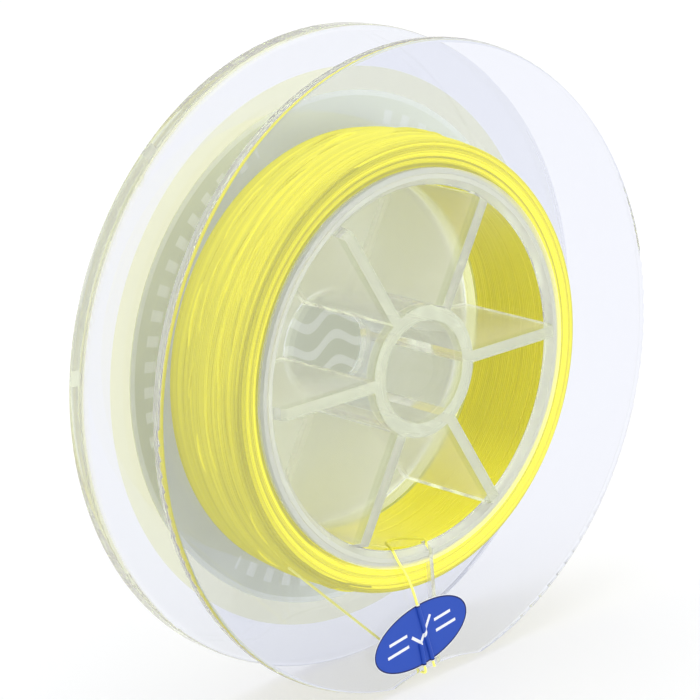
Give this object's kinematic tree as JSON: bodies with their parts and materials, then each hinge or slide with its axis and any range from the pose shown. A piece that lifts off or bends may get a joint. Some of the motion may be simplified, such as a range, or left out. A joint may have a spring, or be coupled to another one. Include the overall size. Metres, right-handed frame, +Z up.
{
  "type": "fishing line spool",
  "caption": "Clear plastic fishing line spool: round flanges, ribbed open drum with a central axle hole, a notched flange, yellow braided line, an oval label and a round one on the back.",
  "frame": {"origin": "on the standing surface, under the middle of the spool's width, with the spool standing on its rims and the notch at the bottom", "axes": "+Y along the spool's axis, from the open front of the drum to the closed back; +Z up; +X to the right seen from the front"},
  "size_m": [0.07, 0.0154, 0.07],
  "materials": {
    "clear_plastic": "clear, polished mould, very slightly grey-green",
    "yellow_line": "fine braided line, satin",
    "label_print": "blue print with a white border, slight sheen",
    "rear_print": "grey-green print on a translucent film, with pale marks"
  },
  "bodies": {
    "root": {"spool_body": "clear_plastic", "front_flange": "clear_plastic", "line_winding": "yellow_line", "line_start": "yellow_line", "line_end": "yellow_line", "oval_label": "label_print", "rear_label": "rear_print"}
  },
  "joints": []
}
